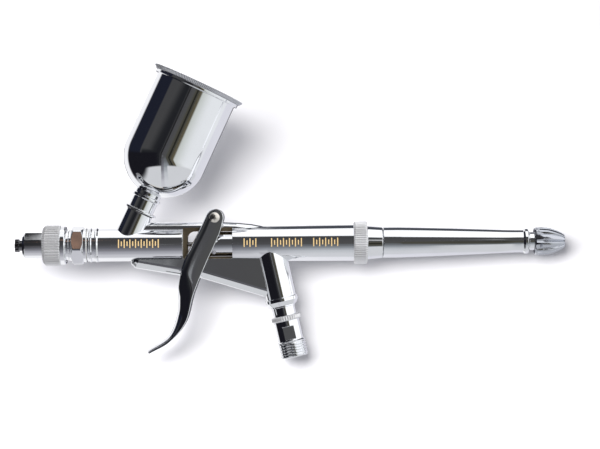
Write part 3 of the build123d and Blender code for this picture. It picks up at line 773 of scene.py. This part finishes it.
def gold_marks():
    """Plain filled ticks on the side of the barrel."""
    groups = ((32.6, 46.2, 15), (75.6, 79.6, 5), (85.0, 95.2, 11), (99.4, 107.6, 9))
    points = []
    faces = []
    for start, end, count in groups:
        for index in range(count):
            x = start + (end - start) * index / (count - 1)
            half_height = 1.45 if index % 2 == 0 else 0.8
            for side in (-MARK_HALF_WIDTH, MARK_HALF_WIDTH):
                radius = barrel_radius(x + side) + 0.012
                for step in range(7):
                    z = MARK_CENTRE_Z - half_height + 2 * half_height * step / 6
                    points.append((x + side, -math.sqrt(radius * radius - z * z), z))
            low = len(points) - 14
            for step in range(6):
                faces.append((low + step, low + 7 + step, low + 8 + step, low + 1 + step))
    return make_mesh("gold_marks", points, faces, Matrix.Identity(4))


# ---- studio --------------------------------------------------------------------------------------
def paper():
    """White sheet behind the gun, which vanishes for side and rear views so that it hides nothing."""
    bend_top = 96
    rows = [-500, 0] + [8 * step for step in range(1, 13)] + [1200]
    points = []
    for z in rows:
        rise = min(max(0, z), bend_top)
        slope = PAPER_SLOPE_HIGH if z > 0 else PAPER_SLOPE_LOW
        y = PAPER_Y + slope * z + PAPER_LIFT * rise * rise
        for x in (-1200, 1800):
            points.append((x, y + PAPER_SLOPE_X * (x - 60), z))
    faces = [(2 * row, 2 * row + 2, 2 * row + 3, 2 * row + 1) for row in range(len(rows) - 1)]
    sheet = make_mesh("paper_sheet", points, faces, Matrix.Identity(4))
    material = bpy.data.materials.new("paper")
    material.use_nodes = True
    nodes = material.node_tree.nodes
    links = material.node_tree.links
    shader = nodes["Principled BSDF"]
    shader.inputs["Roughness"].default_value = 0.9
    shader.inputs["Specular IOR Level"].default_value = 0.1
    shader.inputs["Base Color"].default_value = (0.90, 0.895, 0.92, 1)
    clear = nodes.new("ShaderNodeBsdfTransparent")
    geometry = nodes.new("ShaderNodeNewGeometry")
    facing = nodes.new("ShaderNodeSeparateXYZ")
    links.new(geometry.outputs["Incoming"], facing.inputs["Vector"])
    behind = nodes.new("ShaderNodeMath")
    behind.operation = "GREATER_THAN"
    links.new(facing.outputs["Y"], behind.inputs[0])
    behind.inputs[1].default_value = PAPER_VIEW_LIMIT
    mix = nodes.new("ShaderNodeMixShader")
    links.new(behind.outputs[0], mix.inputs["Fac"])
    links.new(shader.outputs["BSDF"], mix.inputs[1])
    links.new(clear.outputs["BSDF"], mix.inputs[2])
    links.new(mix.outputs["Shader"], nodes["Material Output"].inputs["Surface"])
    sheet.data.materials.append(material)
    sheet.visible_glossy = False


class Room:
    """What the chrome sees, as a colour for each reflected direction.

    The direction's x points to the tail, y away from the camera and z up.
    """

    def __init__(self, nodes, links):
        """Starts with no colour; the first paint function sets it."""
        self.nodes = nodes
        self.links = links
        coordinates = nodes.new("ShaderNodeTexCoord")
        axes = nodes.new("ShaderNodeSeparateXYZ")
        links.new(coordinates.outputs["Generated"], axes.inputs["Vector"])
        self.x = axes.outputs["X"]
        self.y = axes.outputs["Y"]
        self.z = axes.outputs["Z"]
        self.colour = None

    def calculate(self, operation, a, b):
        """Result of one sum of two sockets or numbers."""
        return add_math(self.nodes, self.links, operation, a, b)

    def area(self, *edges):
        """Product of smooth steps, each given as (socket, off value, on value)."""
        product = None
        for socket, off, on in edges:
            edge = step_mask(self.nodes, self.links, socket, off, on)
            product = edge if product is None else self.calculate("MULTIPLY", product, edge)
        return product

    def blend(self, under, over, where):
        """Colour that turns from under to over inside an area."""
        return blend_colour(self.nodes, self.links, where, under, over)

    def paint(self, colour, where):
        """Lays a colour over what the room already holds inside an area."""
        self.colour = self.blend(self.colour, colour, where)

    def ramp(self, stops):
        """Colour by the height of the reflected direction, from 0 straight down to 1 straight up."""
        height = self.nodes.new("ShaderNodeMapRange")
        height.inputs["From Min"].default_value = -1.0
        height.inputs["From Max"].default_value = 1.0
        self.links.new(self.z, height.inputs["Value"])
        node = self.nodes.new("ShaderNodeValToRGB")
        node.color_ramp.interpolation = "EASE"
        while len(node.color_ramp.elements) < len(stops):
            node.color_ramp.elements.new(0.5)
        for element, (position, colour) in zip(node.color_ramp.elements, stops):
            element.position = position
            element.color = (*colour, 1)
        self.links.new(height.outputs["Result"], node.inputs["Fac"])
        return node.outputs["Color"]

    def slant(self):
        """Distance across the tilted edge of the softbox; the edge itself lies near 1."""
        return self.calculate(
            "ADD", self.calculate("DIVIDE", self.z, 0.70), self.calculate("DIVIDE", self.x, 0.31)
        )


def paint_ground(room):
    """Dark room that turns to a pale floor further down, sooner on the tail's side."""
    x, y, z = room.x, room.y, room.z
    left = room.ramp((
        (0.0, (0.62, 0.62, 0.66)), (0.065, (0.42, 0.42, 0.46)), (0.215, (0.21, 0.21, 0.235)),
        (0.35, (0.12, 0.12, 0.135)), (0.5, (0.075, 0.075, 0.080)), (0.65, (0.060, 0.060, 0.062)),
        (1.0, (0.05, 0.05, 0.055)),
    ))
    right = room.ramp((
        (0.0, (0.68, 0.69, 0.72)), (0.10, (0.58, 0.60, 0.63)), (0.20, (0.40, 0.42, 0.45)),
        (0.27, (0.26, 0.28, 0.30)), (0.38, (0.15, 0.16, 0.17)), (0.49, (0.080, 0.080, 0.080)),
        (1.0, (0.05, 0.05, 0.055)),
    ))
    room.colour = room.blend(left, right, room.area((x, -0.06, 0.0)))
    fin_glow = room.area(
        (x, -0.060, -0.068), (x, -0.092, -0.086), (z, -0.010, -0.014), (z, -0.05, -0.04), (y, -0.965, -0.980)
    )
    room.paint((0.26, 0.27, 0.28), fin_glow)


def paint_paper(room):
    """The paper lies behind the object, paler towards the nozzle."""
    sheet = room.blend((1.0, 1.0, 1.02), (0.78, 0.78, 0.84), room.area((room.x, -0.1, 0.1)))
    room.paint(sheet, room.area((room.y, 0.05, 0.35)))


def paint_cards(room):
    """Dark cards stand on the camera's left."""
    x, y, z = room.x, room.y, room.z
    card = room.area((x, -0.14, -0.30), (y, -0.36, -0.28), (y, 0.62, 0.48))
    room.paint((0.013, 0.015, 0.026), card)
    night = room.area((x, -0.15, -0.24), (z, 0.35, 0.20), (y, -0.30, -0.45))
    room.paint((0.018, 0.019, 0.022), night)
    wing = room.area((x, -0.22, -0.40), (z, 0.20, 0.10), (y, 0.55, 0.45))
    room.paint((0.010, 0.010, 0.014), wing)


def paint_stripes(room):
    """Dim olive and black stripes lie beside the softbox, and a black slit on the nozzle's side."""
    x, y, z = room.x, room.y, room.z
    slant = room.slant()
    olive = room.area((slant, -0.1, 0.2), (z, 0.12, 0.02), (y, 0.0, -0.2), (x, 0.06, 0.10))
    room.paint((0.072, 0.070, 0.056), olive)
    wedge = room.area(
        (slant, 0.36, 0.50), (slant, 0.66, 0.52), (z, 0.02, -0.04), (y, 0.0, -0.2), (x, 0.08, 0.12)
    )
    room.paint((0.012, 0.012, 0.010), wedge)
    shade = room.area((slant, 0.66, 0.85), (z, 0.12, 0.02), (y, 0.0, -0.2))
    room.paint((0.11, 0.095, 0.06), shade)
    slit = room.area((x, -0.19, -0.17), (x, -0.13, -0.15), (y, -0.6, -0.8))
    room.paint((0.012, 0.011, 0.01), slit)


def paint_softbox(room):
    """The softbox is at the upper right; its edge is flatter above the object than beside it."""
    y, z = room.y, room.z
    slant = room.slant()
    lean = room.calculate("ADD", z, room.calculate("MULTIPLY", room.x, 0.62))
    beside = room.area((slant, 0.95, 1.12), (z, 0.40, 0.20))
    above = room.area((lean, 0.69, 0.77))
    box = room.calculate("MAXIMUM", beside, above)
    box = room.calculate("MULTIPLY", box, room.area((y, 0.42, 0.30), (z, -0.75, -0.45)))
    side = room.blend((0.60, 0.63, 0.60), (0.86, 0.88, 0.90), room.area((slant, 1.0, 2.2)))
    panel = room.blend(side, (1.25, 1.26, 1.28), room.area((z, -0.08, 0.06)))
    room.paint(panel, box)


def paint_bounce(room):
    """The floor shines into the bottom of the cup, on both sides of the barrel's own reflections."""
    x, y, z = room.x, room.y, room.z
    tail_side = room.area((x, 0.11, 0.15))
    nozzle_side = room.area((x, -0.135, -0.17), (x, -0.80, -0.62))
    bounce = room.calculate("MAXIMUM", tail_side, nozzle_side)
    bounce = room.calculate("MULTIPLY", bounce, room.area((z, -0.44, -0.52), (y, 0.60, 0.45)))
    room.paint((0.68, 0.69, 0.71), bounce)


def paint_gaps(room):
    """Dark gaps: one between the softbox and the paper, and one along the horizon."""
    x, y, z = room.x, room.y, room.z
    gap = room.area((y, 0.24, 0.32), (y, 0.90, 0.80), (z, 0.3, 0.45), (x, -0.045, -0.02))
    room.paint((0.07, 0.075, 0.09), gap)
    horizon = room.area(
        (y, 0.74, 0.82), (z, -0.16, -0.06), (z, 0.14, 0.04), (x, -0.40, -0.30), (x, 0.40, 0.30)
    )
    room.paint((0.10, 0.10, 0.12), horizon)


def paint_spots(room):
    """A brown spot for one facet of the hexagon and a black one for the nose."""
    x, y, z = room.x, room.y, room.z
    brown = room.area(
        (x, -0.118, -0.114), (x, -0.102, -0.106), (z, 0.46, 0.50), (z, 0.62, 0.58), (y, -0.3, -0.5)
    )
    room.paint((0.40, 0.24, 0.17), brown)
    nose = room.area((x, -0.121, -0.128), (x, -0.17, -0.16), (z, -0.06, 0.04))
    room.paint((0.018, 0.018, 0.020), nose)


def studio_world():
    """Room for what the chrome reflects, even pale light for the rest, and a pale ground to look at."""
    world = bpy.data.worlds.new("studio")
    bpy.context.scene.world = world
    world.use_nodes = True
    nodes = world.node_tree.nodes
    links = world.node_tree.links
    nodes.clear()
    room = Room(nodes, links)
    paint_ground(room)
    paint_paper(room)
    paint_cards(room)
    paint_stripes(room)
    paint_softbox(room)
    paint_bounce(room)
    paint_gaps(room)
    paint_spots(room)

    reflected = nodes.new("ShaderNodeBackground")
    links.new(room.colour, reflected.inputs["Color"])
    plain = nodes.new("ShaderNodeBackground")
    plain.inputs["Color"].default_value = (0.93, 0.94, 1.0, 1)
    plain.inputs["Strength"].default_value = 0.37
    seen = nodes.new("ShaderNodeBackground")
    seen.inputs["Color"].default_value = (0.96, 0.96, 0.97, 1)
    path = nodes.new("ShaderNodeLightPath")
    light = nodes.new("ShaderNodeMixShader")
    links.new(path.outputs["Is Glossy Ray"], light.inputs["Fac"])
    links.new(plain.outputs["Background"], light.inputs[1])
    links.new(reflected.outputs["Background"], light.inputs[2])
    surface = nodes.new("ShaderNodeMixShader")
    links.new(path.outputs["Is Camera Ray"], surface.inputs["Fac"])
    links.new(light.outputs["Shader"], surface.inputs[1])
    links.new(seen.outputs["Background"], surface.inputs[2])
    output = nodes.new("ShaderNodeOutputWorld")
    links.new(surface.outputs["Shader"], output.inputs["Surface"])


def soft_light(name, location, target, size, watts, colour):
    """Square lamp that lights the paper and the pieces but isn't seen in the chrome."""
    light = bpy.data.lights.new(name, "AREA")
    light.shape = "SQUARE"
    light.size = size * MM
    light.energy = watts
    light.color = colour
    obj = bpy.data.objects.new(name, light)
    bpy.context.scene.collection.objects.link(obj)
    obj.location = Vector(location) * MM
    obj.rotation_euler = (Vector(target) - Vector(location)).to_track_quat("-Z", "Y").to_euler()
    obj.visible_glossy = False
    obj.visible_camera = False


def camera():
    """Distant camera that looks square at the gun's side, with a slight roll."""
    data = bpy.data.cameras.new("camera")
    obj = bpy.data.objects.new("camera", data)
    bpy.context.scene.collection.objects.link(obj)
    data.sensor_width = 36
    data.lens = 36 * CAMERA_DISTANCE / VIEW_WIDTH
    right = Vector((math.cos(CAMERA_ROLL), 0, -math.sin(CAMERA_ROLL)))
    up = Vector((math.sin(CAMERA_ROLL), 0, math.cos(CAMERA_ROLL)))
    matrix = Matrix((right, up, Vector((0, -1, 0)))).transposed().to_4x4()
    matrix.translation = Vector((CAMERA_CENTRE[0], -CAMERA_DISTANCE, CAMERA_CENTRE[1])) * MM
    obj.matrix_world = matrix
    data.clip_start = 0.05
    data.clip_end = 10
    bpy.context.scene.camera = obj


# ---- build ---------------------------------------------------------------------------------------
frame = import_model()

CHROME = (0.90, 0.91, 0.93)
chrome = metal("chrome_polished", CHROME, 0.035)
# The barrel's window faces get a painted dark brown shade and reflection.
body_chrome = metal("chrome_body", CHROME, 0.035, window_painted_shade=(0.30, 0.24, 0.16))
satin = metal("chrome_satin", (0.88, 0.88, 0.89), 0.30, 0.05, metallic=0.80)
fine_knurl = metal("chrome_fine_knurl", (0.60, 0.61, 0.64), 0.24, 0.05, metallic=0.9)
# Painted dark reflection: a near-black copy of the chrome. It makes the polished needle cap look as black as
# its dark reflection.
painted_dark_chrome = metal("chrome_painted_dark_reflection", (0.20, 0.20, 0.21), 0.10)
knob_chrome = metal("chrome_knob", (0.56, 0.58, 0.63), 0.10)
screw_steel = metal("steel_screw", (0.78, 0.74, 0.68), 0.24)
brass = metal("brass_turned", (0.80, 0.62, 0.33), 0.16, 0.03)
steel = metal("steel_bright", (0.72, 0.72, 0.73), 0.12, 0.02)
gold = soft_material("gold_fill", (0.72, 0.52, 0.25), 0.4)
white_plastic = soft_material("ptfe_white", (0.82, 0.82, 0.80), 0.45)
rubber = soft_material("seal_rubber_black", (0.02, 0.02, 0.02), 0.6)

LOOKS = {
    "chrome": chrome,
    "knurled_chrome": satin,
    "brass": brass,
    "spring_steel": steel,
    "ptfe": white_plastic,
    "seal_rubber": rubber,
}
for node in frame["nodes"].values():
    for slot in node.material_slots:
        slot.link = "OBJECT"
        slot.material = LOOKS[node.data.materials[0].name]
frame["nodes"]["main_body"].material_slots[0].material = body_chrome

# The needle cap uses the chrome with the painted dark reflection.
place(needle_cap(), "gun_body", painted_dark_chrome, "chrome", "needle_cap")
place(air_cap(), "gun_body", chrome, "chrome", "air_cap")
ring = polish(head_ring(), satin, chrome, NEEDLE, lambda along, radius: not 6.3 <= along <= 12.35)
place(ring, "gun_body", satin, "knurled_chrome", "head_ring")
place(head_base(), "gun_body", chrome, "chrome", "head_base")
collar = polish(tail_collar(), satin, chrome, NEEDLE, lambda along, radius: along > 117.95)
place(collar, "gun_body", satin, "knurled_chrome", "tail_collar")
place(handle(), "gun_body", chrome, "chrome", "handle")
place(stop_knob(), "stop_knob", knob_chrome, "chrome", "stop_knob")
place(valve_nut(), "gun_body", chrome, "chrome", "valve_nut")
place(adapter_washer(), "gun_body", satin, "knurled_chrome", "adapter_washer")
place(hose_adapter(), "gun_body", chrome, "chrome", "hose_adapter")
place(cup(), "paint_cup", chrome, "chrome", "cup")
lid = polish(cup_lid(), fine_knurl, chrome, CUP, lambda along, radius: radius < 15.4)
place(lid, "cup_lid", fine_knurl, "knurled_chrome", "cup_lid")
place(trigger(), "trigger", chrome, "chrome", "trigger")
place(pivot_screw(), "gun_body", screw_steel, "chrome", "trigger_pivot")
place(gold_marks(), "gun_body", gold, "brass")

needle_coil = spring(
    "needle_spring_coil", NEEDLE, start=96.4, length=15.2, mean_radius=3.1, wire_radius=0.3, turns=9
)
place(needle_coil, "needle_carriage", steel, "spring_steel", "needle_spring")
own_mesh(needle_coil)
valve_coil = spring(
    "valve_spring_coil", VALVE, start=13.55, length=3.6, mean_radius=2.0, wire_radius=0.25, turns=4
)
place(valve_coil, "air_valve", steel, "spring_steel", "valve_spring")
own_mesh(valve_coil)

studio_world()
paper()
soft_light("key_light", (-60, -570, 190), (90, 0, 10), 330, 3.4, (1.0, 0.99, 0.97))
soft_light("side_light", (-330, -430, 120), (80, 0, 20), 320, 2.0, (0.98, 0.98, 1.0))
camera()

scene = bpy.context.scene
scene.view_settings.view_transform = "Standard"
scene.view_settings.look = "None"
